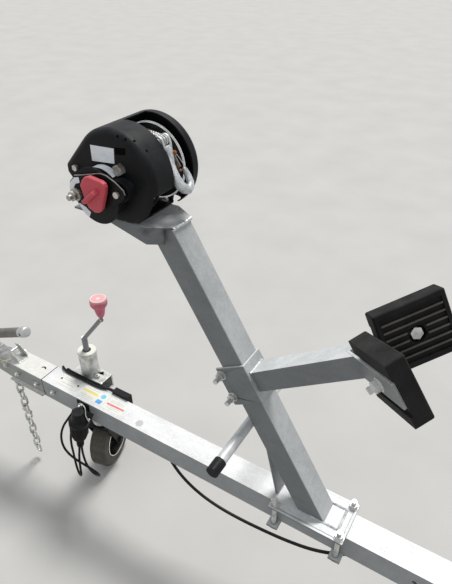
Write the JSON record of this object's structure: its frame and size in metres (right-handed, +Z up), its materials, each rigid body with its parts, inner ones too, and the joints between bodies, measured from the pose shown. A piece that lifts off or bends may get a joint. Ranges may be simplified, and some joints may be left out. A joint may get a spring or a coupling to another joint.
{
  "type": "boat trailer drawbar nose with winch post",
  "caption": "Drawbar nose of a boat trailer: ball coupling, jockey wheel, leaning winch post with hand winch and padded bow stop.",
  "frame": {"origin": "centre of the front chassis bolt hole, on the drawbar's centre line", "axes": "+X aft along the drawbar, away from the coupling; +Y to the trailer's right, along the bolt; +Z up"},
  "size_m": [1.668, 0.3905, 1.325],
  "materials": {
    "galvanised": "hot-dip galvanised, matt, spangled",
    "zinc_plated": "bright zinc plated",
    "forged_zinc": "forged and zinc coated, slightly rough",
    "cast_head": "cast and zinc coated",
    "handle_grey": "grey-brown coated tube",
    "grab_bar_steel": "galvanised tube",
    "black_plastic": "moulded, fine grain",
    "black_paint": "black powder coat",
    "red_plastic": "moulded red",
    "pink_plastic": "sun-bleached red",
    "black_rubber": "moulded rubber",
    "grey_rubber": "solid grey tread, dusty",
    "rim_plastic": "black moulded rim",
    "gear_steel": "greased steel",
    "black_cable": "cable sheath, slightly glossy",
    "wire_rope": "galvanised wire rope"
  },
  "bodies": {
    "drawbar_frame": {"drawbar": "galvanised", "coupling_spigot": "galvanised", "coupling_shell": "galvanised", "coupling_head": "cast_head", "coupling_catch": "zinc_plated", "coupling_bolts": "zinc_plated", "safety_chain": "zinc_plated", "jockey_bracket": "zinc_plated", "foot_plate": "galvanised", "foot_straps": "galvanised", "foot_bolts": "zinc_plated", "winch_post": "galvanised", "post_brace": "galvanised", "grab_bar": "grab_bar_steel", "grab_bar_caps": "black_plastic", "winch_bracket": "galvanised", "winch_frame": "black_paint", "winch_cover": "black_plastic", "winch_shaft": "zinc_plated", "drive_housing": "black_paint", "drive_disc": "black_plastic", "drive_flange": "black_paint", "turning_knob": "red_plastic", "winch_bolts": "zinc_plated", "hook": "forged_zinc", "hook_latch": "zinc_plated", "hook_pin": "zinc_plated", "rope_end": "wire_rope", "plug": "black_rubber", "plug_holder": "black_plastic", "plug_holder_bolt": "zinc_plated", "plug_cable_long": "black_cable", "plug_cable_short": "black_cable", "harness_cable": "black_cable", "cable_glands": "black_rubber", "lead_box": "black_plastic", "top_leads": "black_cable", "lead_gland": "black_plastic"},
    "coupling_handle": {"coupling_handle": "handle_grey"},
    "jockey_outer": {"jockey_outer_tube": "zinc_plated"},
    "jockey_inner": {"jockey_inner_tube": "zinc_plated"},
    "jockey_fork": {"jockey_fork": "black_paint"},
    "jockey_wheel": {"jockey_tyre": "grey_rubber", "jockey_rim": "rim_plastic"},
    "jockey_crank": {"jockey_crank": "zinc_plated", "jockey_knob": "pink_plastic"},
    "winch_drum": {"winch_drum": "zinc_plated", "winch_gear": "gear_steel", "wound_rope": "wire_rope"},
    "bow_stop": {"arm_sleeve": "galvanised", "sleeve_bolts": "zinc_plated", "bow_arm": "galvanised", "bow_vee_plate": "galvanised", "bow_pad_left": "black_rubber", "bow_pad_right": "black_rubber", "bow_pad_bolts": "zinc_plated"}
  },
  "joints": [
    {"name": "coupling_handle_lift", "type": "hinge", "parent": "drawbar_frame", "child": "coupling_handle", "pos_m": [-1.478, 0, 0.052], "axis": [0, -1, 0], "range_deg": [0, 50]},
    {"name": "jockey_clamp_slide", "type": "slide", "parent": "drawbar_frame", "child": "jockey_outer", "axis": [0, 0, 1], "range_m": [0, 0.12]},
    {"name": "jockey_extension", "type": "slide", "parent": "jockey_outer", "child": "jockey_inner", "axis": [0, 0, -1], "range_m": [0, 0.15]},
    {"name": "jockey_swivel", "type": "hinge", "parent": "jockey_inner", "child": "jockey_fork", "pos_m": [-1.075, 0.074, -0.2], "axis": [0, 0, 1], "continuous": true},
    {"name": "jockey_wheel_spin", "type": "hinge", "parent": "jockey_fork", "child": "jockey_wheel", "pos_m": [-1.08276, 0.10298, -0.312], "axis": [0.9659, 0.2588, 0], "continuous": true},
    {"name": "jockey_crank_turn", "type": "hinge", "parent": "jockey_outer", "child": "jockey_crank", "pos_m": [-1.075, 0.074, 0.1], "axis": [0, 0, 1], "continuous": true},
    {"name": "winch_drum_spin", "type": "hinge", "parent": "drawbar_frame", "child": "winch_drum", "pos_m": [-0.728, 0, 0.813], "axis": [0, 1, 0], "continuous": true},
    {"name": "bow_stop_slide", "type": "slide", "parent": "drawbar_frame", "child": "bow_stop", "axis": [-0.5, 0, 0.866], "range_m": [-0.03, 0.15]}
  ]
}
